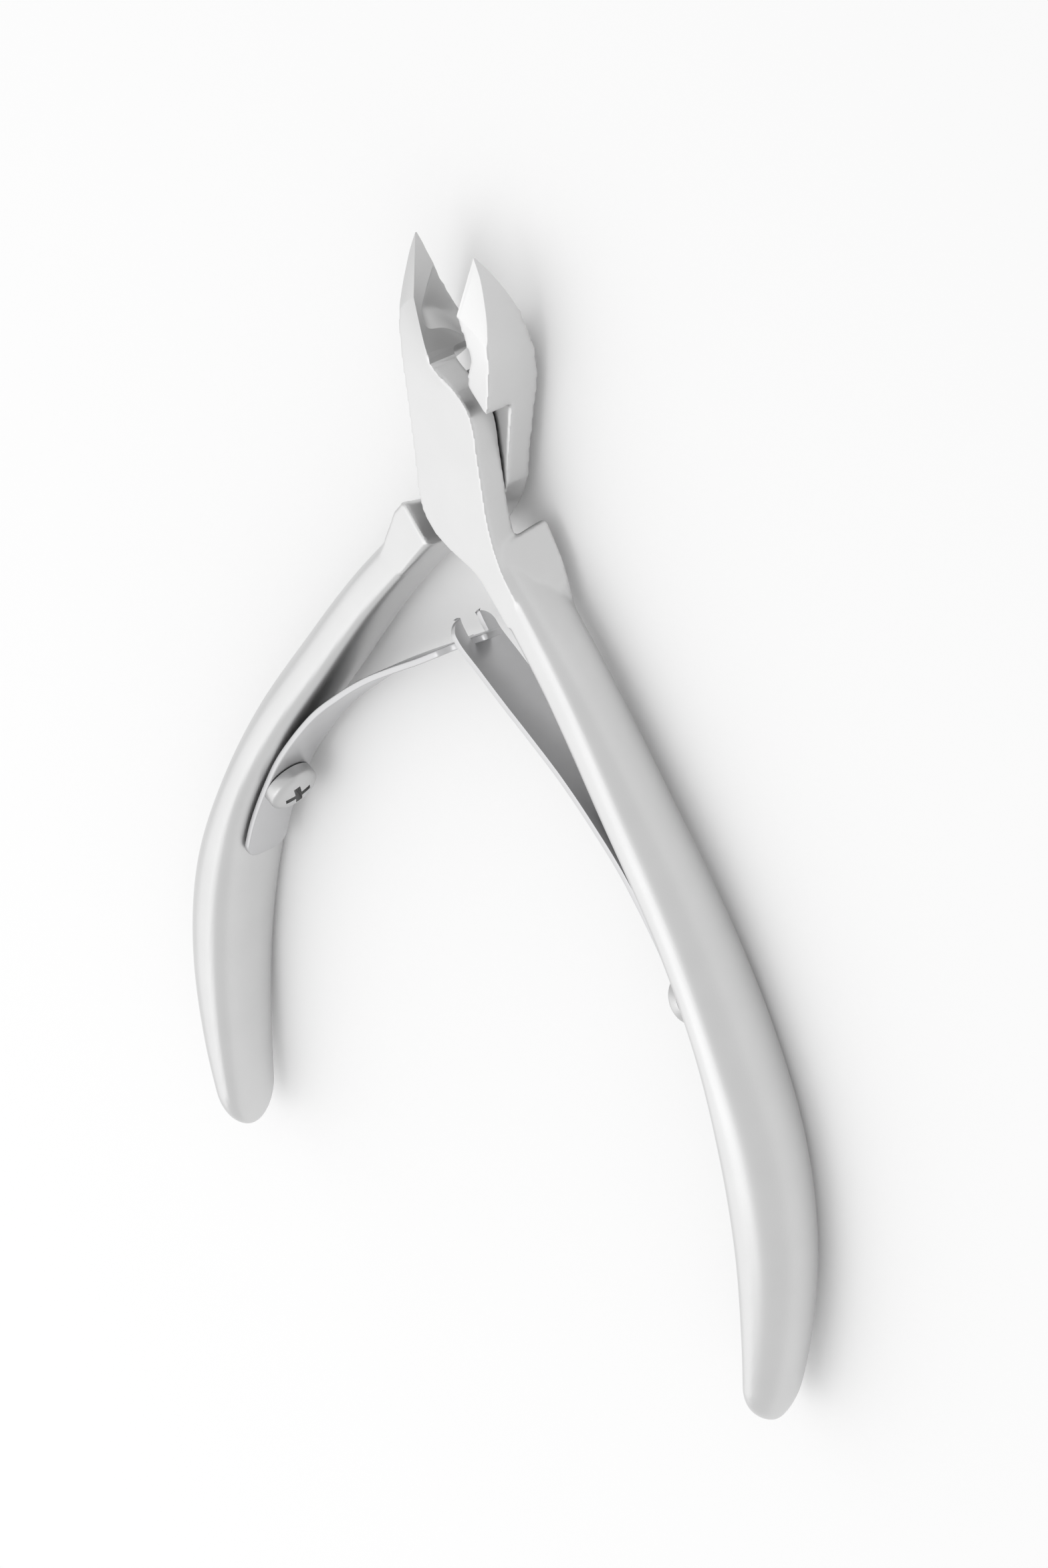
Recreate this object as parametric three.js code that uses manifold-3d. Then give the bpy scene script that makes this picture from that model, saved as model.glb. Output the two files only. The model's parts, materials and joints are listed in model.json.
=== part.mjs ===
// Cuticle nipper: two forged halves lapped on a pivot rivet, and two leaf springs that push them open.
// Millimetres, +Z up. The nipper lies flat, sprung open, with its jaws towards +Y.
// The origin is on the pivot axis, at the flat front face of the joint.
import * as THREE from "three";
import { mergeVertices } from "three/addons/utils/BufferGeometryUtils.js";
import Module from "manifold-3d";

const wasm = await Module();
wasm.setup();

// Driving dimensions.
const OPEN_HALF_ANGLE = THREE.MathUtils.degToRad(10.4); // each cutting edge from the middle line
const HALF_JOINT = 2.85; // from the lap plane to each flat face of the joint
const LAP_GAP = 0.3;
const TIP_Y = 21.1;
const TIP_Z = 2.3;
const HEEL_Y = 15.5; // the lower end of the cutting edge
const FRONT_RISE_Y = 5; // where the jaws' front starts to rise above the joint
const FRONT_SLOPE = 0.076;
const RIDGE = new THREE.Vector2(5.9, 13.5); // outer corner between the front and the tip face
const BACK_BEVEL_SLOPE = 0.516;
const SCOOP_RADIUS = 6;
const SCOOP_CENTRE = new THREE.Vector2(-1.6, 12.2);
const SCOOP_DEPTH = 1.8; // how far past the lap plane the scoop reaches
const EDGE_CLEARANCE = 0.04; // left between the closed cutting edges, each side
const HANDLE_END_Y = -86;
const PIN_RADIUS = 2.1;
const PIN_GAP = 0.3;
const TOUCH_GAP = 0.3; // between pieces that bear on each other
const SPRING_THICKNESS = 0.7;
const SPRING_HALF_WIDTH = 2.6;
const SPRING_ROOT_Y = -53; // the seated end
const SPRING_LIFT_Y = -39; // where it leaves its handle
const TONGUE_HALF_WIDTH = 1.05;
const TONGUE_START = 2.4; // from the middle line
const SLOT_HALF_WIDTH = 1.45;
const SLOT_END = 1.3; // past the middle line
const SCREW_Y = -43.5;
const SCREW = { shank: 1, hole: 1.3, depth: 1.6, head: 2.65, rim: 0.55, height: 1.9, recess: 0.6, cross: 1.6 };

const steel = new THREE.MeshStandardMaterial({ color: 0xc9cacb, roughness: 0.42, metalness: 1 });
const springSteel = new THREE.MeshStandardMaterial({ color: 0xbcbec0, roughness: 0.3, metalness: 1 });

// A closed geometry as a manifold-3d solid.
function solid(geometry) {
  const g = geometry.clone();
  g.deleteAttribute("normal");
  g.deleteAttribute("uv");
  const merged = mergeVertices(g, 1e-4);
  return new wasm.Manifold(
    new wasm.Mesh({
      numProp: 3,
      vertProperties: new Float32Array(merged.attributes.position.array),
      triVerts: new Uint32Array(merged.index.array),
    }),
  );
}

function mesh(name, body, material) {
  const { numProp, vertProperties, triVerts } = body.getMesh();
  if (numProp !== 3) throw new Error(`${name} has ${numProp} properties`);
  const g = new THREE.BufferGeometry();
  g.setAttribute("position", new THREE.BufferAttribute(new Float32Array(vertProperties), 3));
  g.setIndex(new THREE.BufferAttribute(new Uint32Array(triVerts), 1));
  g.computeVertexNormals();
  const m = new THREE.Mesh(g, material);
  m.name = name;
  return m;
}

// An outline in the XY plane, given as a list of [x, y], raised from z0 to z1.
function plate(outline, z0, z1) {
  const shape = new THREE.Shape(outline.map(([x, y]) => new THREE.Vector2(x, y)));
  const g = new THREE.ExtrudeGeometry(shape, { depth: z1 - z0, bevelEnabled: false });
  return solid(g.translate(0, 0, z0));
}

// Everything on the side of a plane that its normal points to, as a large block.
function beyond(point, normal) {
  const size = 400;
  const turn = new THREE.Quaternion().setFromUnitVectors(new THREE.Vector3(0, 0, 1), normal.clone().normalize());
  const g = new THREE.BoxGeometry(size, size, size).translate(0, 0, size / 2);
  return solid(g.applyQuaternion(turn).translate(point.x, point.y, point.z));
}

function disc(radius, z0, z1, x, y, sides) {
  const g = new THREE.CylinderGeometry(radius, radius, z1 - z0, sides).rotateX(Math.PI / 2);
  return solid(g.translate(x, y, (z0 + z1) / 2));
}

// Points of a smooth curve through a few given points, in the XY plane.
function smooth(points, count) {
  const curve = new THREE.CatmullRomCurve3(
    points.map(([x, y]) => new THREE.Vector3(x, y, 0)),
    false,
    "centripetal",
  );
  return curve.getSpacedPoints(count).map((p) => [p.x, p.y]);
}

// --- The forged halves -------------------------------------------------------------------------
// Both are drawn for the half whose jaw is on +X and whose handle is on -X. `side` is 1 for that
// half and -1 for the other, and `lap` is the side of the lap plane that its joint plate is on.

const edgeX = (y) => y * Math.tan(OPEN_HALF_ANGLE) + EDGE_CLEARANCE;

// Outer edge of a jaw and joint plate, from the tip down.
const OUTER = [
  [edgeX(TIP_Y), TIP_Y],
  [4.75, 19.2],
  [5.35, 17],
  [5.72, 15.3],
  [5.98, 13.3],
  [6.1, 11.3],
  [5.98, 9.2],
  [5.75, 7.2],
  [5.4, 4.6],
  [4.95, 1.2],
  [4.65, -1.8],
  [4.35, -4.4],
];

// The joint plate's lower edge, and the edge of the plate that runs into the handle.
const PLATE_FOOT = [
  [3.85, -6.2],
  [2.9, -7.5],
  [1.6, -8.5],
  [0, -9.2],
  [-2.2, -9.95],
  [-4, -10.95],
  [-7.4, -14.4],
];
const PLATE_INNER = [
  [-8.6, -11.2],
  [-6.9, -8.9],
  [-5.9, -6.9],
  [-5.05, -4.2],
  [-4.5, -1],
  [-4.05, 1.6],
  [-3.65, 4.2],
  [-2.9, 5.9],
  [-1.3, 7.3],
  [0.5, 8.3],
  [1.95, 9.2],
  [edgeX(11.8), 11.8],
];

// The part of a jaw beside the other half's plate, which stops at a slanted shoulder.
const SHOULDER = [
  [5.55, 6.4],
  [5.2, 6.55],
  [3.3, 8.3],
  [2.95, 8.9],
  [2.6, 11.8],
];

// The handle's start beside the other half's plate, behind a slanted step.
const STEP = [
  [-3.46, -9.67],
  [-6.2, -6.55],
  [-6.75, -6.35],
  [-8.1, -8],
  [-9, -10],
  [-10.5, -13.3],
  [-7.4, -14.4],
];

// Centre line, half thickness and half width of the handle on -X, at equal steps in Y.
const HANDLE = {
  x: [-4.4, -13.1, -20.6, -27.8, -33.3, -36.8, -38.4, -38.3, -37.1],
  thick: [1.9, 2.2, 2.45, 2.5, 2.6, 3.2, 3.2, 2.6, 1.6],
  wide: [2.75, 3.05, 3.45, 3.8, 4.15, 4.25, 4, 3.55, 2.8],
};
const HANDLE_START_Y = -9;
const HANDLE_STATIONS = 30;
const HANDLE_SIDES = 24;
const END_ROUNDING = 4; // length of the rounded end
const INNER = { thick: 0.78, power: 3 }; // the side towards the palm's centre is nearly flat
const OUTER_SIDE = { thick: 1.17, power: 2 }; // the outer side is crowned
const SQUARE_START = 3.5; // added to the power where the handle leaves the joint
const SQUARE_FADE = 9;

function along(values, t) {
  const curve = new THREE.CatmullRomCurve3(
    values.map((v, i) => new THREE.Vector3(i, v, 0)),
    false,
    "catmullrom",
    0.5,
  );
  return curve.getPoint(t).y;
}

// The handle's centre at t from 0 to 1, with its direction towards the end and its outward normal.
function handleAt(t, side) {
  const point = (u) =>
    new THREE.Vector2(side * along(HANDLE.x, u), HANDLE_START_Y + (HANDLE_END_Y - HANDLE_START_Y) * u);
  const step = 0.005;
  const run = point(Math.min(1, t + step)).sub(point(Math.max(0, t - step))).normalize();
  const out = new THREE.Vector2(run.y, -run.x).multiplyScalar(side);
  return { centre: point(t), run, out, thick: along(HANDLE.thick, t), wide: along(HANDLE.wide, t) };
}

// A tube of superellipse sections: nearly square where it leaves the joint, oval further down.
function handle(side) {
  const position = [];
  for (let i = 0; i <= HANDLE_STATIONS; i++) {
    const t = 1 - (1 - i / HANDLE_STATIONS) ** 1.5; // closer together towards the rounded end
    const s = handleAt(t, side);
    const end = Math.min(1, (s.centre.y - HANDLE_END_Y) / END_ROUNDING);
    const round = Math.max(0.12, Math.sqrt(1 - (1 - end) ** 2));
    for (let k = 0; k < HANDLE_SIDES; k++) {
      const a = (2 * Math.PI * k * -side) / HANDLE_SIDES;
      const c = Math.cos(a);
      const w = Math.sin(a);
      const face = c > 0 ? OUTER_SIDE : INNER;
      const power = face.power + SQUARE_START * Math.exp(-t * SQUARE_FADE);
      const n = s.thick * face.thick * Math.sqrt(round) * Math.sign(c) * Math.abs(c) ** (2 / power);
      const z = s.wide * round * Math.sign(w) * Math.abs(w) ** (2 / power);
      position.push(s.centre.x + s.out.x * n, s.centre.y + s.out.y * n, z);
    }
  }
  const index = [];
  for (let i = 0; i < HANDLE_STATIONS; i++) {
    for (let k = 0; k < HANDLE_SIDES; k++) {
      const a = i * HANDLE_SIDES + k;
      const b = i * HANDLE_SIDES + ((k + 1) % HANDLE_SIDES);
      index.push(a, b, a + HANDLE_SIDES, b, b + HANDLE_SIDES, a + HANDLE_SIDES);
    }
  }
  const last = HANDLE_STATIONS * HANDLE_SIDES;
  for (let k = 1; k < HANDLE_SIDES - 1; k++) {
    index.push(0, k + 1, k);
    index.push(last, last + k, last + k + 1);
  }
  const g = new THREE.BufferGeometry();
  g.setAttribute("position", new THREE.BufferAttribute(new Float32Array(position), 3));
  g.setIndex(index);
  return solid(g);
}

// The jaw's rising front, its tip face and its long back bevel.
function trimJaw(body, side) {
  const at = (x, y, z) => new THREE.Vector3(side * x, y, z);
  const front = (y) => HALF_JOINT + FRONT_SLOPE * (y - FRONT_RISE_Y);
  const rise = new THREE.Vector3(0, -FRONT_SLOPE, 1);
  const tip = at(edgeX(TIP_Y), TIP_Y, TIP_Z);
  const heel = at(edgeX(HEEL_Y), HEEL_Y, front(HEEL_Y));
  const ridge = at(RIDGE.x, RIDGE.y, front(RIDGE.y));
  const face = heel.clone().sub(tip).cross(ridge.clone().sub(tip)).multiplyScalar(side);
  const bevel = new THREE.Vector3(0, BACK_BEVEL_SLOPE, -1);
  return body
    .subtract(beyond(at(0, FRONT_RISE_Y, HALF_JOINT), rise))
    .subtract(beyond(tip, face))
    .subtract(beyond(at(0, TIP_Y, TIP_Z - 0.25), bevel));
}

// A frame on the inner side of a handle, at a given Y and distance from the handle's centre line.
function seat(side, y, distance) {
  const s = handleAt((y - HANDLE_START_Y) / (HANDLE_END_Y - HANDLE_START_Y), side);
  const inward = s.out.clone().negate();
  const offset = s.thick * INNER.thick + distance;
  const turn = new THREE.Quaternion().setFromUnitVectors(
    new THREE.Vector3(0, 0, 1),
    new THREE.Vector3(inward.x, inward.y, 0),
  );
  const at = new THREE.Vector3(s.centre.x + inward.x * offset, s.centre.y + inward.y * offset, 0);
  return new THREE.Matrix4().compose(at, turn, new THREE.Vector3(1, 1, 1));
}

function screwHole(side) {
  const g = new THREE.CylinderGeometry(SCREW.hole, SCREW.hole, 2 * SCREW.depth, 24).rotateX(Math.PI / 2);
  return solid(g.applyMatrix4(seat(side, SCREW_Y, 0)));
}

function half(side) {
  const lap = -side; // the half with its jaw on +X has its plate at the back
  const flip = (points) => points.map(([x, y]) => [side * x, y]);
  const order = (points) => (side > 0 ? points : points.slice().reverse());
  const layer = (points, near, far) => {
    const z = [near * lap, far * lap].sort((a, b) => a - b);
    return plate(order(flip(points)), ...z);
  };
  const JAW_FRONT = 4.4;
  const joint = [...OUTER, ...PLATE_FOOT, ...PLATE_INNER];
  const shoulder = [...OUTER.slice(0, 8), ...SHOULDER];
  // The plate's own layer stops short of the lap plane; the jaw and handle beside it cross it.
  let body = layer(joint, LAP_GAP / 2, HALF_JOINT)
    .add(layer(shoulder, -HALF_JOINT, HALF_JOINT))
    .add(layer(STEP, -HALF_JOINT, HALF_JOINT));
  const jaw = [...OUTER.slice(0, 6), [edgeX(11.8), 11.8]];
  body = body.add(plate(order(flip(jaw)), -HALF_JOINT, JAW_FRONT));
  const low = side > 0 ? -SCOOP_DEPTH : -2 * JAW_FRONT;
  const high = side > 0 ? 2 * JAW_FRONT : SCOOP_DEPTH;
  body = body.subtract(disc(SCOOP_RADIUS, low, high, side * SCOOP_CENTRE.x, SCOOP_CENTRE.y, 48));
  body = trimJaw(body, side).add(handle(side));
  return body
    .subtract(disc(PIN_RADIUS + PIN_GAP, -2 * JAW_FRONT, 2 * JAW_FRONT, 0, 0, 48))
    .subtract(screwHole(side));
}

// --- The leaf springs and their screws ---------------------------------------------------------

// The free run of a spring on the -X handle, from where it leaves the handle to past the middle.
const FREE_RUN = [
  [-21.9, -34.7],
  [-17.7, -30.85],
  [-13.7, -27.7],
  [-9.8, -25.15],
  [-5.9, -22.75],
  [-2.6, -20.6],
];

function box(x0, x1, y0, y1, z0, z1) {
  const g = new THREE.BoxGeometry(x1 - x0, y1 - y0, z1 - z0);
  return solid(g.translate((x0 + x1) / 2, (y0 + y1) / 2, (z0 + z1) / 2));
}

// A strip bent along its seat on the handle and then along its free run to `end`.
function strip(side, end) {
  const lift = TOUCH_GAP + SPRING_THICKNESS / 2;
  const seated = [SPRING_ROOT_Y, -48.5, SCREW_Y, SPRING_LIFT_Y].map((y) => {
    const p = new THREE.Vector3().setFromMatrixPosition(seat(side, y, lift));
    return [p.x, p.y];
  });
  const free = [...FREE_RUN, ...end].map(([x, y]) => [side * x, y]);
  const path = smooth([...seated, ...free], 40);
  const edge = (sign) =>
    path.map(([x, y], i) => {
      const a = path[Math.max(0, i - 1)];
      const b = path[Math.min(path.length - 1, i + 1)];
      const run = new THREE.Vector2(b[0] - a[0], b[1] - a[1]).normalize();
      const d = (sign * SPRING_THICKNESS) / 2;
      return [x - run.y * d, y + run.x * d];
    });
  const body = plate([...edge(1), ...edge(-1).reverse()], -SPRING_HALF_WIDTH, SPRING_HALF_WIDTH);
  return body.subtract(screwHole(side));
}

function tongueSpring() {
  const body = strip(1, [
    [0.4, -18.6],
    [2.2, -17.4],
  ]);
  const aside = (z0, z1) => box(-TONGUE_START, 10, -30, -10, z0, z1);
  return body
    .subtract(aside(TONGUE_HALF_WIDTH, 2 * SPRING_HALF_WIDTH))
    .subtract(aside(-2 * SPRING_HALF_WIDTH, -TONGUE_HALF_WIDTH));
}

function forkSpring() {
  const body = strip(-1, [
    [0, -18.9],
    [1.5, -17.1],
  ]);
  return body.subtract(box(-10, SLOT_END, -30, -10, -SLOT_HALF_WIDTH, SLOT_HALF_WIDTH));
}

// A pan-head screw with a crossed recess, its head just above the spring.
function screw(side) {
  const profile = [
    [0, -SCREW.depth],
    [SCREW.shank, -SCREW.depth],
    [SCREW.shank, 0],
    [SCREW.head, 0],
    [SCREW.head, SCREW.rim],
    [0.88 * SCREW.head, 0.66 * SCREW.height],
    [0.6 * SCREW.head, 0.9 * SCREW.height],
    [0, SCREW.height],
  ].map(([r, h]) => new THREE.Vector2(r, h));
  const place = seat(side, SCREW_Y, 2 * TOUCH_GAP + SPRING_THICKNESS);
  let body = solid(new THREE.LatheGeometry(profile, 32).rotateX(Math.PI / 2).applyMatrix4(place));
  for (const turned of [0, Math.PI / 2]) {
    const slot = new THREE.BoxGeometry(SCREW.recess, 2 * SCREW.cross, SCREW.height).rotateZ(turned + Math.PI / 4);
    slot.translate(0, 0, SCREW.height);
    body = body.subtract(solid(slot.applyMatrix4(place)));
  }
  return body;
}

const nipper = new THREE.Group();
nipper.add(mesh("front_half", half(-1), steel));
nipper.add(mesh("rear_half", half(1), steel));
nipper.add(mesh("pivot_rivet", disc(PIN_RADIUS, -HALF_JOINT, HALF_JOINT, 0, 0, 48), steel));
nipper.add(mesh("tongue_spring", tongueSpring(), springSteel));
nipper.add(mesh("fork_spring", forkSpring(), springSteel));
nipper.add(mesh("tongue_spring_screw", screw(1), steel));
nipper.add(mesh("fork_spring_screw", screw(-1), steel));
nipper.position.z = -HALF_JOINT;

const part = new THREE.Group();
part.add(nipper);
export default part;
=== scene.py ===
"""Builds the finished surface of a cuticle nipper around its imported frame: two forged halves, a rivet,
two leaf springs and their screws, in satin stainless steel."""

import json
import math

import bpy
from bpy.props import FloatProperty, IntProperty, PointerProperty, StringProperty
from mathutils import Matrix, Vector


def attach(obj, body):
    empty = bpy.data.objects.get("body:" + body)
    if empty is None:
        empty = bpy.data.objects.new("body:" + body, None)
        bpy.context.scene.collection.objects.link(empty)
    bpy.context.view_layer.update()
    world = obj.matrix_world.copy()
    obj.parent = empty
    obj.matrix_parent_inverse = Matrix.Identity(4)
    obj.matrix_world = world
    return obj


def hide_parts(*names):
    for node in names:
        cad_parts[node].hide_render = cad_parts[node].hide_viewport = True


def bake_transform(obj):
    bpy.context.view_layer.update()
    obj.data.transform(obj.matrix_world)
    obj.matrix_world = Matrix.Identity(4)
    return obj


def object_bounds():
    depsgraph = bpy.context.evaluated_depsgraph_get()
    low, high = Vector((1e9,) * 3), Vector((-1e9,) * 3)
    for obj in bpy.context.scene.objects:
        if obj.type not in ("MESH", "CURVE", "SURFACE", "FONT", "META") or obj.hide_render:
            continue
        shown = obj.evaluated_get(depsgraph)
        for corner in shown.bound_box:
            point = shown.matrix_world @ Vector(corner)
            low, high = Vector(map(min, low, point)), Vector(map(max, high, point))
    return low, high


bl_info = {
    "name": "Cuticle Nipper",
    "version": (1, 0, 0),
    "blender": (4, 5, 0),
    "location": "View3D > Sidebar > Nipper",
    "description": "Models a cuticle nipper with a lap joint and a double leaf spring",
    "category": "Add Mesh",
}

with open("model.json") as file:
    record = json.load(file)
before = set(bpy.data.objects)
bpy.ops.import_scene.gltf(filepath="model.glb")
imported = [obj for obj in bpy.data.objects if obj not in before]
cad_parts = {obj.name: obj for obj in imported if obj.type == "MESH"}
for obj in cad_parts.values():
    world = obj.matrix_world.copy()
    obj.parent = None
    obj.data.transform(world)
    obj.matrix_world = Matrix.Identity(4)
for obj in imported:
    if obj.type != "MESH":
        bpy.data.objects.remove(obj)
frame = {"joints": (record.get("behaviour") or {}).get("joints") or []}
CAD_BOX = [list(corner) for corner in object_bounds()]
MM = 0.001
LAP_Z = frame["joints"][0]["pos_m"][2] / MM  # the plane between the joint's two plates, in mm


# --- Sizes and colours a user would change -----------------------------------------------------


class NipperSizes(bpy.types.PropertyGroup):
    """The forged halves."""

    open_half_angle: FloatProperty(
        name="Open Half Angle",
        description="Angle between each cutting edge and the middle line",
        unit="ROTATION",
        default=math.radians(10.4),
    )
    half_joint: FloatProperty(
        name="Half Joint",
        description="From the lap plane to each flat face of the joint",
        unit="LENGTH",
        precision=5,
        default=2.85 * MM,
    )
    tip_y: FloatProperty(
        name="Tip",
        description="Distance of the jaws' points above the pivot",
        unit="LENGTH",
        precision=5,
        default=21.1 * MM,
    )
    tip_z: FloatProperty(
        name="Tip Height",
        description="Height of the points in front of the lap plane",
        unit="LENGTH",
        precision=5,
        default=2.3 * MM,
    )
    heel_y: FloatProperty(
        name="Heel",
        description="Distance of the cutting edge's lower end above the pivot",
        unit="LENGTH",
        precision=5,
        default=15.5 * MM,
    )
    voxel: FloatProperty(
        name="Forging Detail",
        description="Cell size used to melt a forging together",
        unit="LENGTH",
        precision=5,
        default=0.19 * MM,
    )
    softening: IntProperty(name="Softening", description="Passes that round the blasted edges", default=5)


class SpringSizes(bpy.types.PropertyGroup):
    """The leaf springs and their screws."""

    thickness: FloatProperty(
        name="Thickness",
        description="Thickness of the spring strip",
        unit="LENGTH",
        precision=5,
        default=0.66 * MM,
    )
    half_width: FloatProperty(
        name="Half Width", description="Half the strip's width", unit="LENGTH", precision=5, default=2.45 * MM
    )
    tongue: FloatProperty(
        name="Tongue", description="Half the width of the tongue", unit="LENGTH", precision=5, default=1.05 * MM
    )
    slot: FloatProperty(
        name="Slot", description="Half the width of the fork's slot", unit="LENGTH", precision=5, default=1.18 * MM
    )
    head_radius: FloatProperty(
        name="Head Radius", description="Radius of a screw's head", unit="LENGTH", precision=5, default=2.6 * MM
    )
    head_height: FloatProperty(
        name="Head Height", description="Height of a screw's head", unit="LENGTH", precision=5, default=1.9 * MM
    )


class SteelColours(bpy.types.PropertyGroup):
    """Colours of the three steels, as sRGB hex."""

    forged_steel: StringProperty(name="Forgings", description="Colour of the blasted forgings", default="#d8d8d8")
    spring_steel: StringProperty(name="Springs", description="Colour of the spring strip", default="#cdcdce")
    screw_steel: StringProperty(name="Screws", description="Colour of the screws", default="#cecece")


class StageSettings(bpy.types.PropertyGroup):
    """Floor and light."""

    floor: StringProperty(name="Floor", description="Colour of the floor, as sRGB hex", default="#fbfbfb")
    sky: FloatProperty(name="Sky", description="Brightness of the surrounding white light", default=0.85)
    key: FloatProperty(
        name="Key", description="Soft light that the front faces reflect", unit="POWER", default=0.5
    )
    top: FloatProperty(name="Top", description="Soft light overhead", unit="POWER", default=0.9)


def size(name):
    """A length of the forged halves in millimetres."""
    return getattr(bpy.context.scene.nipper_sizes, name) / MM


def spring_size(name):
    """A length of the springs or screws in millimetres."""
    return getattr(bpy.context.scene.nipper_springs, name) / MM


# --- Small tools -------------------------------------------------------------------------------


def deselect():
    """Selects nothing."""
    for obj in bpy.context.selected_objects:
        obj.select_set(False)


def pick(obj):
    """Selects one object and makes it active."""
    deselect()
    obj.select_set(True)
    bpy.context.view_layer.objects.active = obj
    return obj


def named(name):
    """Names the object that was just added."""
    obj = bpy.context.active_object
    obj.name = name
    obj.data.name = name
    return pick(obj)


def editing(obj):
    """Opens edit mode with the whole mesh selected."""
    pick(obj)
    bpy.ops.object.mode_set(mode="EDIT")
    bpy.ops.mesh.select_all(action="SELECT")


def close_mesh():
    """Turns all faces of the mesh being edited outwards and leaves edit mode."""
    bpy.ops.mesh.select_all(action="SELECT")
    bpy.ops.mesh.normals_make_consistent(inside=False)
    bpy.ops.object.mode_set(mode="OBJECT")


def apply_modifier(obj, kind, **settings):
    """Adds a modifier with its settings and applies it."""
    pick(obj)
    modifier = obj.modifiers.new(kind.title(), kind)
    for key, value in settings.items():
        setattr(modifier, key, value)
    bpy.ops.object.modifier_apply(modifier=modifier.name)
    return obj


def cut(obj, tool):
    """Cuts a closed tool out of obj and removes the tool."""
    apply_modifier(obj, "BOOLEAN", object=tool, operation="DIFFERENCE", solver="EXACT")
    bpy.data.objects.remove(tool)
    return obj


def block(name, outline, low, high, upper=None):
    """A block over a closed outline in the XY plane, in millimetres, tapering to a second outline."""
    bpy.ops.mesh.primitive_circle_add(vertices=len(outline), fill_type="NGON")
    obj = named(name)
    for vertex, (x, y) in zip(obj.data.vertices, outline):
        vertex.co = (x, y, low)
    editing(obj)
    bpy.ops.mesh.extrude_region_move(TRANSFORM_OT_translate={"value": (0, 0, high - low)})
    close_mesh()
    for vertex in obj.data.vertices if upper else ():
        if vertex.co.z > (low + high) / 2:
            nearest = min(range(len(outline)), key=lambda i: math.dist(outline[i], vertex.co[:2]))
            vertex.co.x, vertex.co.y = upper[nearest]
    return obj


def grid(name, place, cells):
    """A surface of cells[0] by cells[1] cells, placed by u and v from 0 to 1."""
    bpy.ops.mesh.primitive_grid_add(x_subdivisions=cells[0], y_subdivisions=cells[1], size=2)
    obj = named(name)
    for vertex in obj.data.vertices:
        vertex.co = place((vertex.co.x + 1) / 2, (vertex.co.y + 1) / 2)
    return obj


def sheet(name, place, reach, cells):
    """A block between a curved sheet and the same sheet moved by reach."""
    obj = grid(name, place, cells)
    editing(obj)
    bpy.ops.mesh.extrude_region_move(TRANSFORM_OT_translate={"value": reach})
    close_mesh()
    return obj


def tube(name, place, cells):
    """A closed body whose rings, around v, run along u; rings at the ends are filled."""
    obj = grid(name, place, cells)
    editing(obj)
    bpy.ops.mesh.remove_doubles(threshold=1e-4)
    bpy.ops.mesh.select_all(action="DESELECT")
    bpy.ops.mesh.select_non_manifold()
    bpy.ops.mesh.edge_face_add()
    close_mesh()
    return obj


def turned(name, profile, sides=64):
    """A body of revolution about Z from a profile of (radius, height) that begins and ends on the axis."""
    last = len(profile) - 1

    def place(u, v):
        radius, height = profile[round(u * last)]
        return radius * math.cos(2 * math.pi * v), radius * math.sin(2 * math.pi * v), height

    return tube(name, place, (last, sides))


def ease(t):
    """0 below 0, 1 above 1 and a smooth step between."""
    t = min(max(t, 0), 1)
    return t * t * (3 - 2 * t)


def bowl(t):
    """0 below 0, 1 above 1 and a quarter of a sine between, which leaves a rim at 0."""
    return math.sin(min(max(t, 0), 1) * math.pi / 2)


def table(rows, at):
    """Linear interpolation in rows of (position, value) in rising order."""
    for (a, va), (b, vb) in zip(rows, rows[1:]):
        if at <= b:
            return va + (vb - va) * max(0, at - a) / (b - a)
    return rows[-1][1]


def spline(points, t):
    """A point at t from 0 to 1 on the smooth curve through equally spaced points."""
    ends = [2 * points[0] - points[1], *points, 2 * points[-1] - points[-2]]
    place = min(max(t, 0), 1) * (len(points) - 1)
    i = min(int(place), len(points) - 2)
    u = place - i
    a, b, c, d = ends[i : i + 4]
    return b + 0.5 * u * (c - a + u * (2 * a - 5 * b + 4 * c - d + u * (3 * (b - c) + d - a)))


def smooth_line(points, steps):
    """A line with steps times as many parts through the same points, rounded."""
    vectors = [Vector(p) for p in points]
    count = steps * (len(points) - 1)
    return [tuple(spline(vectors, i / count)) for i in range(count + 1)]


def arc(x, y, radius, start, stop, steps=6):
    """Points of an arc, its angles in degrees."""
    angles = [math.radians(start + (stop - start) * i / steps) for i in range(steps + 1)]
    return [(x + radius * math.cos(a), y + radius * math.sin(a)) for a in angles]


def finish_piece(obj, body, slot, *nodes, angle=30):
    """Moves a piece from millimetres about the lap plane to the row's frame and gives it its steel."""
    obj.data.transform(Matrix.Scale(MM, 4) @ Matrix.Translation((0, 0, LAP_Z)))
    obj.data.update()
    pick(obj)
    bpy.ops.object.shade_smooth_by_angle(angle=math.radians(angle))
    obj.data.materials.clear()
    obj.data.materials.append(steel(slot))
    if body:
        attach(obj, body)
    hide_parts(*nodes)
    return obj


# --- Materials ---------------------------------------------------------------------------------

# Name, roughness, grain in mm, clouds in mm and strength of the relief.
STEELS = {
    # Forged stainless steel blasted with fine glass beads, whose dents are about 0.16 mm wide. It looks an
    # even soft grey from every side, with only broad faint clouds.
    "forged_steel": ("blasted_stainless_steel", 0.38, 0.16, 6, 0.35),
    # Rolled and tumbled spring strip: finer grained, with a clearer highlight along its bend.
    "spring_steel": ("satin_spring_strip", 0.36, 0.12, 3, 0.25),
    # Turned and tumbled screw heads: a soft highlight that follows the crown.
    "screw_steel": ("satin_screw_steel", 0.38, 0.14, 2, 0.3),
}
RELIEF_HEIGHT = 0.02  # mm
CLOUD_SHADE = 0.93
ROUGHNESS_SPREAD = 0.04
MIX_A, MIX_B, MIX_RESULT = 6, 7, 2  # a Mix node's colour sockets


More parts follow.
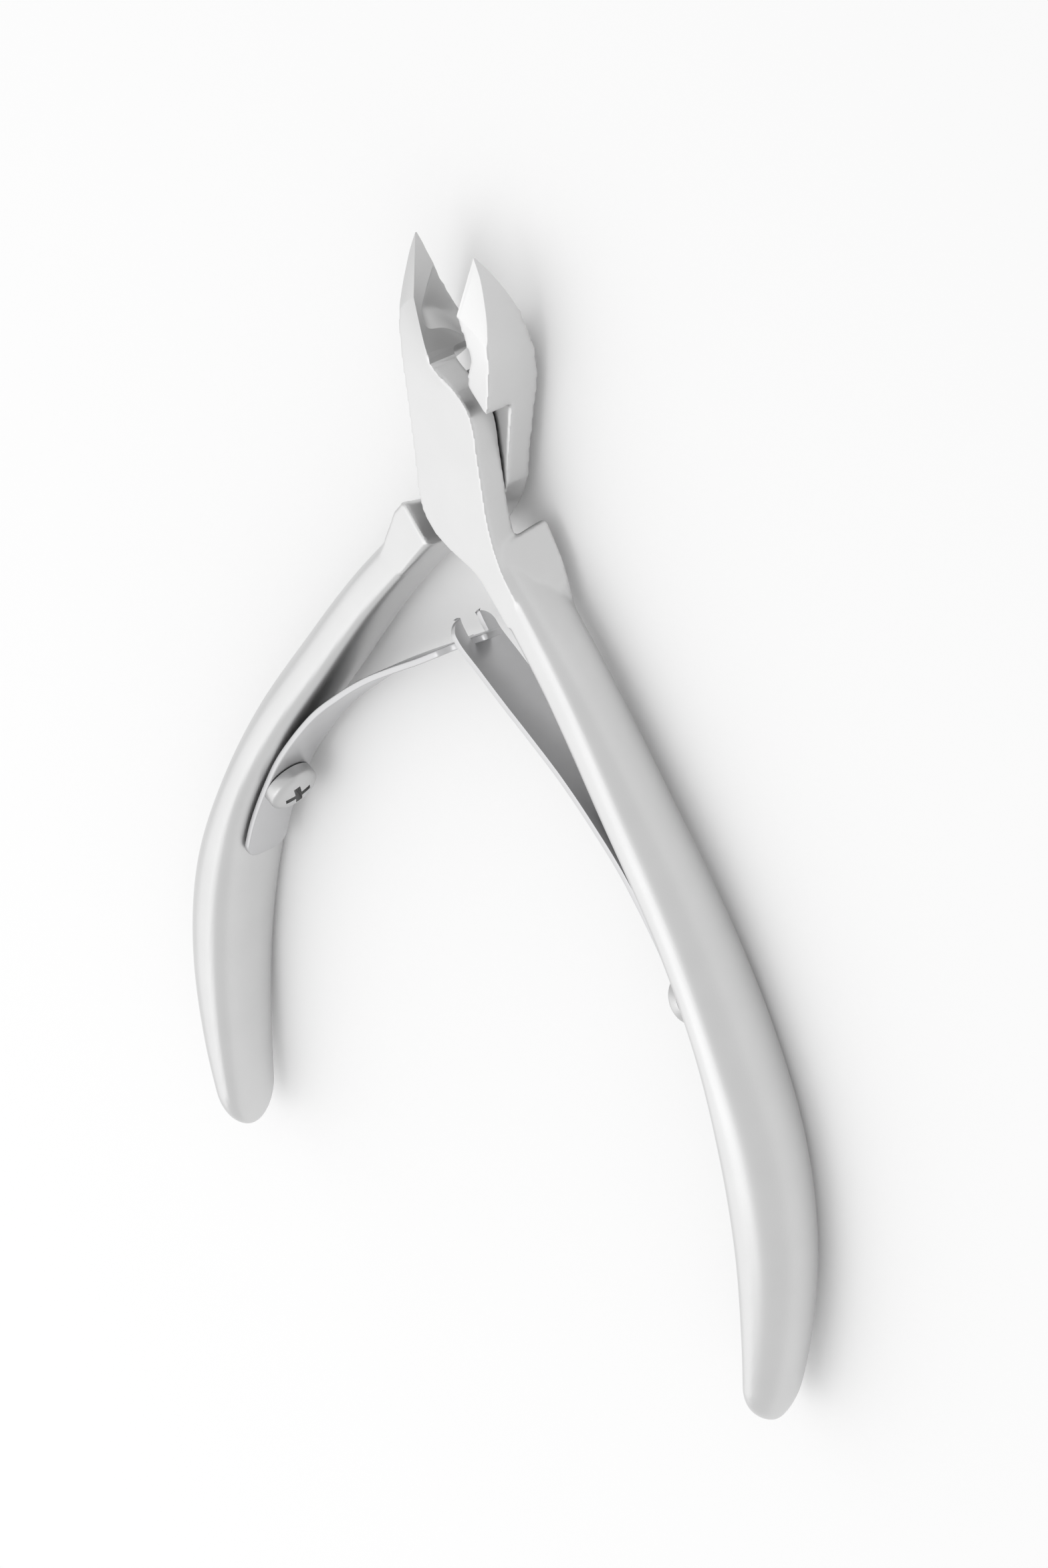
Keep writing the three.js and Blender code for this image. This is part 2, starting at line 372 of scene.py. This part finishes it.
def linear(code):
    """A #rrggbb colour as linear RGBA."""
    values = [int(code[i : i + 2], 16) / 255 for i in (1, 3, 5)]
    return [v / 12.92 if v <= 0.04045 else ((v + 0.055) / 1.055) ** 2.4 for v in values] + [1]


def add_node(tree, kind, settings=None, links=None, **values):
    """Adds a node, sets its properties and input values, and links its inputs."""
    node = tree.nodes.new(kind)
    for key, value in (settings or {}).items():
        setattr(node, key, value)
    for key, value in values.items():
        node.inputs[key.replace("_", " ")].default_value = value
    for key, socket in (links or {}).items():
        tree.links.new(socket, node.inputs[key])
    return node


def steel(slot):
    """A slot's stainless steel, made the first time it is asked for: metallic, default IOR."""
    name, roughness, grain, cloud, relief = STEELS[slot]
    if name in bpy.data.materials:
        return bpy.data.materials[name]
    colour = linear(getattr(bpy.context.scene.nipper_colours, slot))
    material = bpy.data.materials.new(name)
    material.use_nodes = True
    tree = material.node_tree
    shader = tree.nodes["Principled BSDF"]
    shader.inputs["Metallic"].default_value = 1
    coords = add_node(tree, "ShaderNodeTexCoord").outputs["Object"]
    grains = add_node(
        tree, "ShaderNodeTexNoise", links={"Vector": coords}, Scale=1 / (grain * MM), Detail=3, Roughness=0.6
    ).outputs["Fac"]
    clouds = add_node(
        tree, "ShaderNodeTexNoise", links={"Vector": coords}, Scale=1 / (cloud * MM), Detail=4, Roughness=0.55
    ).outputs["Fac"]
    tone = add_node(tree, "ShaderNodeMix", {"data_type": "RGBA"}, {"Factor": clouds})
    tone.inputs[MIX_A].default_value = [CLOUD_SHADE * v for v in colour[:3]] + [1]
    tone.inputs[MIX_B].default_value = colour
    gloss = add_node(
        tree,
        "ShaderNodeMapRange",
        links={"Value": grains},
        To_Min=roughness - ROUGHNESS_SPREAD,
        To_Max=roughness + ROUGHNESS_SPREAD,
    )
    dents = add_node(
        tree, "ShaderNodeBump", links={"Height": grains}, Strength=relief, Distance=RELIEF_HEIGHT * MM
    )
    tree.links.new(tone.outputs[MIX_RESULT], shader.inputs["Base Color"])
    tree.links.new(gloss.outputs["Result"], shader.inputs["Roughness"])
    tree.links.new(dents.outputs["Normal"], shader.inputs["Normal"])
    return material


# --- The handles -------------------------------------------------------------------------------
# Both halves are drawn for the one whose jaw is on +X and whose handle is on -X; side is 1 for it and
# -1 for the other, whose joint plate lies in front of the lap plane.

HANDLE_X = [-4.4, -13.1, -20.6, -27.8, -33.3, -36.8, -38.4, -38.3, -37.1]
HANDLE_THICK = [1.9, 2.2, 2.45, 2.5, 2.6, 3.2, 3.2, 2.6, 1.6]
HANDLE_WIDE = [2.75, 3.05, 3.45, 3.8, 4.15, 4.25, 4, 3.55, 2.8]
HANDLE_Y = (-9, -86)
HANDLE_CELLS = (150, 72)
END_CROWDING = 1.5  # above 1, rings lie closer together towards the handle's end
END_ROUNDING = 4
INNER_SIDE = (0.78, 3)  # share of the thickness and superellipse power, nearly flat
OUTER_SIDE = (1.17, 2)  # crowned
SQUARE_START = 3.5
SQUARE_FADE = 9


def handle_at(t, side):
    """Centre, outward direction, thickness and width of a handle at t from 0 to 1."""

    def point(u):
        return Vector((side * spline(HANDLE_X, u), HANDLE_Y[0] + (HANDLE_Y[1] - HANDLE_Y[0]) * u))

    run = (point(min(1, t + 0.005)) - point(max(0, t - 0.005))).normalized()
    out = Vector((run.y, -run.x)) * side
    return point(t), out, spline(HANDLE_THICK, t), spline(HANDLE_WIDE, t)


def handle(side):
    """A tube of superellipse sections, squarish at the joint and a crowned oval further down."""

    def place(u, v):
        t = 1 - (1 - u) ** END_CROWDING
        centre, out, thick, wide = handle_at(t, side)
        end = min(1, (centre.y - HANDLE_Y[1]) / END_ROUNDING)
        rounded = math.sqrt(max(0, 1 - (1 - end) ** 2))
        c, s = math.cos(2 * math.pi * v), math.sin(2 * math.pi * v)
        share, power = OUTER_SIDE if c > 0 else INNER_SIDE
        power += SQUARE_START * math.exp(-t * SQUARE_FADE)
        n = thick * share * math.sqrt(rounded) * math.copysign(abs(c) ** (2 / power), c)
        z = wide * rounded * math.copysign(abs(s) ** (2 / power), s)
        return centre.x + out.x * n, centre.y + out.y * n, z

    return tube("handle", place, HANDLE_CELLS)


def seat(side, y, distance):
    """A point over the middle of a handle's inner side, and the direction that side faces."""
    centre, out, thick, _ = handle_at((y - HANDLE_Y[0]) / (HANDLE_Y[1] - HANDLE_Y[0]), side)
    return centre - out * (thick * INNER_SIDE[0] + distance), -out


# --- The jaws and the lap joint ----------------------------------------------------------------

EDGE_CLEARANCE = 0.04
LAP_GAP = 0.12
STOCK = 0.9  # left on inside the cutting edges for the grinding that follows the rounding of the edges
BACK_STOCK = 0.35  # the same behind the points
ROUGH_VOXEL = 0.13
ROUGH_FRONT, ROUGH_BACK = 4.6, -4
LAYER_OVERLAP = 1  # how far a jaw's layer reaches into the layer of its plate
CONTACT_Y = 11.8  # from here up a jaw's inner side runs along the cutting edge

JAW_OUTSIDE = [(4.75, 19.2), (5.35, 17), (5.72, 15.3), (5.98, 13.3), (6.1, 11.3), (5.98, 9.2), (5.75, 7.2),
               (5.4, 4.6), (4.95, 1.2), (4.6, -1.8)]
SHOULDER = [(5.55, 6.4), (5.2, 6.55), (3.5, 8.1), (3.2, 8.55), (3.2, 9)]
SHOULDER_TOP = {
    1: [(3.64, 10.45), (3.9, 11.3), (3.75, 12), (3.2, 14), (2.7, 15.8)],
    -1: [(2.8, 9.4), (2, 9.8), (1.4, 10.4), (1.25, 11.5)],
}
SHOULDER_START = 29  # points of the smoothed outer edge above the shoulder
PLATE_FOOT = {
    1: [(4.2, -2.9), (3.7, -4.2), (2.8, -5.6), (1.6, -7.2), (0, -8.6), (-2.2, -9.8), (-4, -10.95),
        (-7.4, -14.4)],
    -1: [(4.35, -4.4), (3.85, -6.2), (2.9, -7.5), (1.6, -8.5), (0, -9.2), (-2.2, -9.95), (-4, -10.95),
         (-7.4, -14.4)],
}
PLATE_INNER = [(-8.6, -11.2), (-6.9, -8.9), (-5.9, -6.9), (-5.05, -4.2), (-4.5, -1), (-4.05, 1.6),
               (-3.65, 4.2), (-2.9, 5.9), (-1.3, 7.3), (0.3, 8.2), (1.3, 8.85), (1.74, 9.6), (1.84, 10.4)]
STEP = {  # the handle's start beside the other half's plate, behind a slanted step
    1: [(-3.46, -9.67), (-6.3, -6.65), (-6.8, -6.5), (-8.1, -8), (-9, -10), (-10.5, -13.3), (-7.4, -14.4)],
    -1: [(-2.75, -8.55), (-3.45, -7.9), (-6.1, -5.75), (-6.6, -5.45), (-7.05, -5.7), (-7.9, -7), (-9, -8.8),
         (-9.7, -10.6), (-10.6, -13.3), (-7.4, -14.4)],
}
STEP_OWN = {  # the same on its own plate's side, where it runs into the plate
    1: [(-3.6, -9.8), (-5.5, -7.2), (-5.9, -7.2), (-6.8, -8.9), (-8.1, -10.8), (-9.8, -13.3), (-7.4, -14.4)],
    -1: [(-3.6, -9.8), (-4, -9), (-5, -7.6), (-5.4, -7.2), (-5.8, -7.3), (-6.3, -8.2), (-7, -9.4),
         (-8, -10.9), (-9.8, -13.3), (-7.4, -14.4)],
}

# Where the front and back cutters lie over a half, seen from the front: corner, spans and cells.
SKIN_CORNER, SKIN_SPAN, SKIN_CELLS = (-13, -16), (22, 40), (88, 160)
SKIN_REACH = 8
FRONT_RISE = (7, 0.0304, 6)  # start, slope and widest x of the rise that is highest at the cutting edges
BACK = [(2, -2.85), (5, -3), (7.5, -3.12), (9, -3.08), (9.8, -2.97), (10.8, -2.8), (11.8, -2.6), (12.8, -2.32),
        (13.8, -2), (14.8, -1.57), (15.8, -1.11), (16.8, -0.63), (17.85, -0.04), (18.9, 0.62), (19.9, 1.26),
        (21.1, 2.15), (24, 4.3)]
BACK_TILT = (-0.5, 11, 5)  # slope towards the outside, where it begins and over what length
TIP_FACE_CORNER = (5.44, 16.5, 2.46)
EDGE_PLANE = (9.1, 24, 5.6, 6)  # lowest and highest y at the edges, lowest y inside, width

# The hollow that a wheel grinds into the inner side of a jaw, in the Y and Z of the lap plane.
HOLLOW_CORNER, HOLLOW_SPAN, HOLLOW_CELLS = (8.93, -6.05), (15.1, 13), (90, 90)
HOLLOW_REACH = 3
HOLLOW = [(9.5, 1.4), (10.4, 1.75), (11.3, 2.2), (12, 2.4), (12.7, 2.35), (14.7, 1.9), (15.8, 1.65),
          (17, 1.4), (18.3, 1.1), (19.5, 0.8), (20.5, 0.4)]
GROUND = (0.55, 13.7, 0.3)  # slope, start and offset of the flat ground beside the cutting edge
GROUND_FADE = 1.8
RIM = (11.5, 2.1, 0.171)  # top of the arc that ends the hollow, its Z and its bow
RIM_BEHIND = 11.2
RIM_FADE = 2.2

PIN_RADIUS = 2.1
PIN_CLEARANCE = 0.05


def edge_x(y):
    """Distance of the cutting edge from the middle line."""
    return y * math.tan(bpy.context.scene.nipper_sizes.open_half_angle) + EDGE_CLEARANCE


def front_z(x, y):
    """The front face: flat at the joint, rising a little to the cutting edges."""
    start, slope, widest = FRONT_RISE
    return size("half_joint") + slope * max(0, y - start) * max(0, widest - abs(x))


def outer_edge():
    """The jaw and joint plate's outer edge, from the point down."""
    tip = size("tip_y")
    return [(edge_x(tip), tip), *JAW_OUTSIDE]


def back_z(x, y):
    """The jaws' backs: domed, and bevelled to meet the front at the points."""
    outer = table([(b, a) for a, b in reversed(outer_edge())], y)
    tilt, start, length = BACK_TILT
    return table(BACK, y) + tilt * ease((y - start) / length) * (abs(x) - outer)


def hollow_depth(y, z, side):
    """How deep the hollow cuts into the stock on the inner side of a jaw."""
    slope, start, offset = GROUND
    ground = slope * (y - start) - offset
    if side < 0:
        ground = max(0, ground)
    away = front_z(edge_x(y), y) - z
    top, middle, bow = RIM
    rim = top - bow * (z - middle) ** 2 if side < 0 else RIM_BEHIND if z < 0 else 0
    return table(HOLLOW, y) * bowl((away - ground) / GROUND_FADE) * bowl((y - rim) / RIM_FADE)


def hollow_cutter(side):
    """The grinding wheel's path through the inner side of a jaw."""

    def place(u, v):
        y, z = HOLLOW_CORNER[0] + HOLLOW_SPAN[0] * u, HOLLOW_CORNER[1] + HOLLOW_SPAN[1] * v
        return side * (edge_x(y) - STOCK + hollow_depth(y, z, side)), y, z

    return sheet("hollow_cutter", place, (-HOLLOW_REACH * side, 0, 0), HOLLOW_CELLS)


def skin(name, height, reach):
    """Everything beyond a surface of given height over the joint and the jaws."""

    def place(u, v):
        x, y = SKIN_CORNER[0] + SKIN_SPAN[0] * u, SKIN_CORNER[1] + SKIN_SPAN[1] * v
        return x, y, height(x, y)

    return sheet(name, place, (0, 0, reach), SKIN_CELLS)


def back_cutter(near_tip, elsewhere):
    """Everything behind the back, moved back by one distance at the points and another elsewhere."""

    def height(x, y):
        return back_z(x, y) - elsewhere - (near_tip - elsewhere) * ease((y - 14) / 2)

    return skin("back_cutter", height, -SKIN_REACH)


def tip_face(side):
    """Everything in front of the face ground between the point, the heel and the jaw's outer side."""
    tip_y, heel_y = size("tip_y"), size("heel_y")
    tip = Vector((side * edge_x(tip_y), tip_y, size("tip_z")))
    heel = Vector((side * edge_x(heel_y), heel_y, front_z(edge_x(heel_y), heel_y)))
    corner = Vector((side * TIP_FACE_CORNER[0], *TIP_FACE_CORNER[1:]))
    return slab(tip, (heel - tip).cross(corner - tip) * side)


def slab(point, normal, width=200):
    """A large block that begins at a plane and lies on the side its normal points to."""
    bpy.ops.mesh.primitive_cube_add(size=width)
    obj = named("slab")
    turn = Vector(normal).to_track_quat("Z", "Y").to_matrix().to_4x4()
    obj.data.transform(Matrix.Translation(point) @ turn @ Matrix.Translation((0, 0, width / 2)))
    return obj


def edge_plane(side):
    """Everything past the plane in which the cutting edges meet."""
    low, high, inner_low, width = EDGE_PLANE
    reach = [(edge_x(low), low), (edge_x(high), high), (edge_x(high) - width, high),
             (edge_x(low) - width, inner_low)]
    return block("edge_plane", [(side * x, y) for x, y in reach], -8, 8)


def melted(voxel, *parts):
    """Joins overlapping closed pieces and remeshes them into one skin."""
    deselect()
    for part in parts:
        part.select_set(True)
    bpy.context.view_layer.objects.active = parts[0]
    bpy.ops.object.join()
    return apply_modifier(parts[0], "REMESH", mode="VOXEL", voxel_size=voxel, adaptivity=0)


def rough_forging(side, name):
    """Joint plate, jaw and the handle's start, before any grinding."""
    tip, half = size("tip_y"), size("half_joint")

    def layer(label, outline, low, high, upper=None):
        flip = [(side * x, y) for x, y in outline]
        return block(label, flip, low, high, upper and [(side * x, y) for x, y in upper])

    outer = smooth_line(outer_edge(), 4)
    beyond_tip = [(edge_x(tip) - 0.42, tip + 1)]  # so that the rounding doesn't blunt the point
    stock_top = (edge_x(tip) - STOCK, tip)
    plate = beyond_tip + outer + smooth_line(PLATE_FOOT[side], 3) + smooth_line(PLATE_INNER, 3)
    plate += [(edge_x(CONTACT_Y) - STOCK, CONTACT_Y), stock_top]
    jaw = beyond_tip + outer[:SHOULDER_START] + smooth_line(SHOULDER + SHOULDER_TOP[side], 3) + [stock_top]
    if side < 0:
        plates = layer(name, plate, LAP_GAP / 2, ROUGH_FRONT), layer("back", jaw, ROUGH_BACK, LAYER_OVERLAP)
        step = layer("step", STEP[side], -half, half, STEP_OWN[side])
    else:
        plates = layer(name, plate, ROUGH_BACK, -LAP_GAP / 2), layer("front", jaw, -LAYER_OVERLAP, ROUGH_FRONT)
        step = layer("step", STEP_OWN[side], -half, half, STEP[side])
    return melted(ROUGH_VOXEL, *plates, step)


def forged_half(side, name):
    """One forging: rough shape, hollow, front, back and handle, then softened and ground."""
    body = cut(rough_forging(side, name), hollow_cutter(side))
    body = cut(body, skin("front_cutter", front_z, SKIN_REACH))
    body = cut(body, back_cutter(BACK_STOCK, 0))
    body = melted(size("voxel"), body, handle(side))
    apply_modifier(body, "SMOOTH", factor=0.5, iterations=bpy.context.scene.nipper_sizes.softening)
    # Ground after forging: the tip face, the back of the point and the plane of the cutting edges.
    body = cut(body, tip_face(side))
    body = cut(body, back_cutter(0, 0.3))
    if side > 0:
        hole = PIN_RADIUS + PIN_CLEARANCE
        body = cut(body, turned("hole", [(0, -5), (hole, -5), (hole, 1), (0, 1)]))
    return cut(body, edge_plane(side))


class NIPPER_OT_halves(bpy.types.Operator):
    """Model the two forged halves"""

    bl_idname = "nipper.halves"
    bl_label = "Forged Halves"

    def execute(self, context):
        for side, name, body in ((-1, "front_forging", "front"), (1, "rear_forging", "rear")):
            finish_piece(forged_half(side, name), body, "forged_steel", body + "_half")
        return {"FINISHED"}


# --- The leaf springs --------------------------------------------------------------------------

SPRING_Y = (-53, -48.5, -43.5, -39)  # where a leaf lies along its handle
SEAT_GAP = 0.16
FREE_RUN = [(-21.9, -34.7), (-17.7, -30.85), (-13.7, -27.7), (-9.8, -25.15), (-5.9, -22.75), (-2.6, -20.6)]
TIPS = {1: [(0.4, -18.8), (2.15, -17.75)], -1: [(0, -18.9), (1.5, -17.1)]}
BEND_ROOT_Y = -43.1
BEND_END = FREE_RUN[2]
LEAF_EDGE = 0.13
LEAF_CUTS = 90


def spring_path(side):
    """Evenly spaced points along the middle of a spring, from its root, and its length."""
    lift = SEAT_GAP + spring_size("thickness") / 2
    points = [seat(side, y, lift)[0] for y in SPRING_Y]
    points += [Vector((side * x, y)) for x, y in FREE_RUN + TIPS[side]]
    fine = [spline(points, i / 400) for i in range(401)]
    lengths = [0]
    for a, b in zip(fine, fine[1:]):
        lengths.append(lengths[-1] + (b - a).length)
    return list(zip(lengths, fine)), lengths[-1]


def bend_along(obj, side):
    """Bends a flat strip, its length along X and width along Y, to the run of a spring."""
    path, length = spring_path(side)
    xs, ys = [(s, p.x) for s, p in path], [(s, p.y) for s, p in path]
    for vertex in obj.data.vertices:
        s, width, height = vertex.co
        here = Vector((table(xs, s), table(ys, s)))
        a, b = max(0, s - 0.1), min(length, s + 0.1)
        run = Vector((table(xs, b) - table(xs, a), table(ys, b) - table(ys, a))).normalized()
        vertex.co = (here.x - run.y * height * side, here.y + run.x * height * side, width)
    editing(obj)
    close_mesh()  # bending the tongue's strip this way mirrors it
    return obj


def tongue_outline(length):
    """A strip whose end narrows to a tongue, half of it from the root to the end."""
    w, t = spring_size("half_width"), spring_size("tongue")
    return [*arc(1.6, w - 1.6, 1.6, 180, 90), (length - 7.2, w), *arc(length - 6.6, w - 0.7, 0.7, 80, 30, 3),
            *arc(length - 4.9, t + 0.9, 0.9, 220, 270, 4), *arc(length - 0.45, t - 0.45, 0.45, 90, 0, 4)]


def fork_outline(length):
    """A strip that ends in two prongs, rounded on the outside, half of it from the root to the slot."""
    w, slot = spring_size("half_width"), spring_size("slot")
    return [*arc(1.6, w - 1.6, 1.6, 180, 90), (length - 3, w), *arc(length - 1.75, w - 1.65, 1.65, 80, 12, 8),
            *arc(length - 0.32, slot + 0.32, 0.32, 0, -90, 4), *arc(length - 2, slot - 0.6, 0.6, 90, 180, 4)]


def leaf(side, name):
    """A leaf spring: a flat strip with broken edges, bent along its run."""
    length = spring_path(side)[1]
    edge = tongue_outline(length) if side > 0 else fork_outline(length)
    half = spring_size("thickness") / 2
    obj = block(name, edge + [(x, -y) for x, y in reversed(edge)], -half, half)
    apply_modifier(
        obj, "BEVEL", width=LEAF_EDGE, segments=3, limit_method="ANGLE", angle_limit=math.radians(50)
    )
    editing(obj)
    for i in range(1, LEAF_CUTS):
        bpy.ops.mesh.select_all(action="SELECT")
        bpy.ops.mesh.bisect(plane_co=(length * i / LEAF_CUTS, 0, 0), plane_no=(1, 0, 0))
    bpy.ops.object.mode_set(mode="OBJECT")
    return bend_along(obj, side)


class NIPPER_OT_springs(bpy.types.Operator):
    """Model the two leaf springs, hooked into each other"""

    bl_idname = "nipper.springs"
    bl_label = "Leaf Springs"

    def execute(self, context):
        for side, name, body in ((1, "tongue", "rear"), (-1, "fork", "front")):
            obj = leaf(side, name + "_leaf_strip")
            finish_piece(obj, None, "spring_steel", name + "_spring", angle=40)
            root = seat(side, BEND_ROOT_Y, 0)[0]
            tip = Vector((side * BEND_END[0], BEND_END[1]))
            start, end = ((p.x * MM, p.y * MM, LAP_Z * MM) for p in (root, tip))
            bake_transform(obj)
            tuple(start)
            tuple(end)
        return {"FINISHED"}


# --- The rivet and the screws ------------------------------------------------------------------

RIVET_TOP = 2  # the rivet ends inside the front plate, whose face is ground over it
RIVET_CHAMFER = 0.1
SCREW_Y = -43.5
SHANK = (0.9, 1.4)  # radius and length
DOME_ANGLES = (1.47, 1.35, 1.2, 1, 0.75, 0.5, 0.25)  # rings of the crown, from its edge to its middle
DOME_POWER = 0.9
RECESS = (1.4, 0.36, 1.1)  # half length and half width of each arm, and depth
RECESS_ANGLES = (25, 115)


def rivet():
    """The pin of the joint, flush with the rear face."""
    rear = -size("half_joint")
    profile = [(0, rear), (PIN_RADIUS - RIVET_CHAMFER, rear), (PIN_RADIUS, rear + RIVET_CHAMFER),
               (PIN_RADIUS, RIVET_TOP), (0, RIVET_TOP)]
    return turned("flush_rivet", profile)


def screw(side, name):
    """A pan-head screw with a cross recess, set through a leaf into its handle."""
    r, h = spring_size("head_radius"), spring_size("head_height")
    shank, depth = SHANK
    dome = [(r * math.sin(a), 0.5 * h + 0.5 * h * math.cos(a) ** DOME_POWER) for a in DOME_ANGLES]
    profile = [(0, -depth), (shank, -depth), (shank, 0), (r - 0.12, 0), (r - 0.03, 0.05), (r, 0.14),
               (r, 0.5 * h), *dome, (0, h)]
    obj = turned(name, profile)
    length, width, deep = RECESS
    for angle in RECESS_ANGLES:
        outline = [(-length, -width), (length, -width), (length, width), (-length, width)]
        arm = block("arm", outline, h - deep, h + 1)
        arm.data.transform(Matrix.Rotation(math.radians(angle), 4, "Z"))
        obj = cut(obj, arm)
    at, inward = seat(side, SCREW_Y, SEAT_GAP + spring_size("thickness") + 0.03)
    turn = Vector((inward.x, inward.y, 0)).to_track_quat("Z", "Y").to_matrix().to_4x4()
    obj.data.transform(Matrix.Translation((at.x, at.y, 0)) @ turn)
    return obj


class NIPPER_OT_fasteners(bpy.types.Operator):
    """Model the rivet and the two pan-head screws"""

    bl_idname = "nipper.fasteners"
    bl_label = "Rivet and Screws"

    def execute(self, context):
        finish_piece(rivet(), "front", "forged_steel", "pivot_rivet")
        for side, name, body in ((1, "tongue", "rear"), (-1, "fork", "front")):
            obj = screw(side, name + "_pan_screw")
            finish_piece(obj, body, "screw_steel", name + "_spring_screw", angle=35)
        return {"FINISHED"}


# --- The stage ---------------------------------------------------------------------------------

FLOOR_WIDTH = 6  # m
LIGHT_AIM = (0, -0.03, 0)  # m
LIGHT_WIDTH = 0.6  # m
KEY_LIGHT = ((-0.67, -0.48, 0.6), 0.7)  # direction and distance in m
TOP_LIGHT = ((-0.1, -0.25, 1), 0.8)
CAMERA_TOWARD = (0.66633, 0.47520, 0.57462)
CAMERA_PLACE = (511.827, 328.986, 436.523)  # mm, from the pivot in the lap plane
CAMERA_LENS = 190.6
CAMERA_ROLL = -1.99
CAMERA_REACH = 20  # m


class NIPPER_OT_stage(bpy.types.Operator):
    """Set up the floor, the lights and the camera"""

    bl_idname = "nipper.stage"
    bl_label = "Stage"

    def execute(self, context):
        settings = context.scene.nipper_stage
        bpy.ops.mesh.primitive_plane_add(size=FLOOR_WIDTH, location=(0, 0, CAD_BOX[0][2]))
        floor = named("floor")
        # Matt white paper: evenly pale, with no reflection of the tool.
        material = bpy.data.materials.new("pale_floor")
        material.use_nodes = True
        shader = material.node_tree.nodes["Principled BSDF"]
        shader.inputs["Base Color"].default_value = linear(settings.floor)
        shader.inputs["Roughness"].default_value = 0.9
        shader.inputs["Specular IOR Level"].default_value = 0.1
        floor.data.materials.append(material)
        world = bpy.data.worlds.new("studio")
        world.use_nodes = True
        world.node_tree.nodes["Background"].inputs["Strength"].default_value = settings.sky
        world.node_tree.nodes["Background"].inputs["Color"].default_value = (1, 1, 1, 1)
        context.scene.world = world
        context.scene.view_settings.view_transform = "Standard"
        add_light("key", *KEY_LIGHT, settings.key)
        add_light("top", *TOP_LIGHT, settings.top)
        add_camera()
        return {"FINISHED"}


def add_light(name, toward, distance, power):
    """A square soft light in a direction from the springs, seen only by what it lights."""
    toward = Vector(toward).normalized()
    bpy.ops.object.light_add(type="AREA", location=Vector(LIGHT_AIM) + toward * distance)
    lamp = bpy.context.active_object
    lamp.name = name
    lamp.rotation_euler = toward.to_track_quat("Z", "Y").to_euler()
    lamp.data.size = LIGHT_WIDTH
    lamp.data.energy = power
    lamp.visible_camera = False


def add_camera():
    """A long lens, looking down past the jaws at the front face, nearly level with the handles."""
    toward = Vector(CAMERA_TOWARD).normalized()
    position = (Vector(CAMERA_PLACE) + Vector((0, 0, LAP_Z))) * MM
    bpy.ops.object.camera_add(location=position)
    camera = bpy.context.active_object
    camera.data.lens = CAMERA_LENS
    camera.data.clip_end = CAMERA_REACH
    right = Vector((0, 1, 0)).cross(toward).normalized()
    up = toward.cross(right)
    roll = math.radians(CAMERA_ROLL)
    side = right * math.cos(roll) + up * math.sin(roll)
    top = -right * math.sin(roll) + up * math.cos(roll)
    camera.matrix_world = Matrix.Translation(position) @ Matrix((side, top, toward)).transposed().to_4x4()
    bpy.context.scene.camera = camera


class NIPPER_PT_panel(bpy.types.Panel):
    """Lists the pieces in the order they are made"""

    bl_label = "Nipper"
    bl_idname = "NIPPER_PT_panel"
    bl_space_type = "VIEW_3D"
    bl_region_type = "UI"
    bl_category = "Nipper"

    def draw(self, context):
        for step in STEPS:
            self.layout.operator(step)


STEPS = ("nipper.halves", "nipper.springs", "nipper.fasteners", "nipper.stage")
CLASSES = (NipperSizes, SpringSizes, SteelColours, StageSettings, NIPPER_OT_halves, NIPPER_OT_springs,
           NIPPER_OT_fasteners, NIPPER_OT_stage, NIPPER_PT_panel)
GROUPS = {
    "nipper_sizes": NipperSizes,
    "nipper_springs": SpringSizes,
    "nipper_colours": SteelColours,
    "nipper_stage": StageSettings,
}


def register():
    """Registers the classes and gives each scene its settings."""
    for cls in CLASSES:
        bpy.utils.register_class(cls)
    for name, group in GROUPS.items():
        setattr(bpy.types.Scene, name, PointerProperty(type=group))


def unregister():
    """Removes the settings and the classes."""
    for name in GROUPS:
        delattr(bpy.types.Scene, name)
    for cls in reversed(CLASSES):
        bpy.utils.unregister_class(cls)


def main():
    """Makes every piece in order."""
    register()
    for step in STEPS:
        group, name = step.split(".")
        getattr(getattr(bpy.ops, group), name)()


if __name__ == "__main__":
    main()
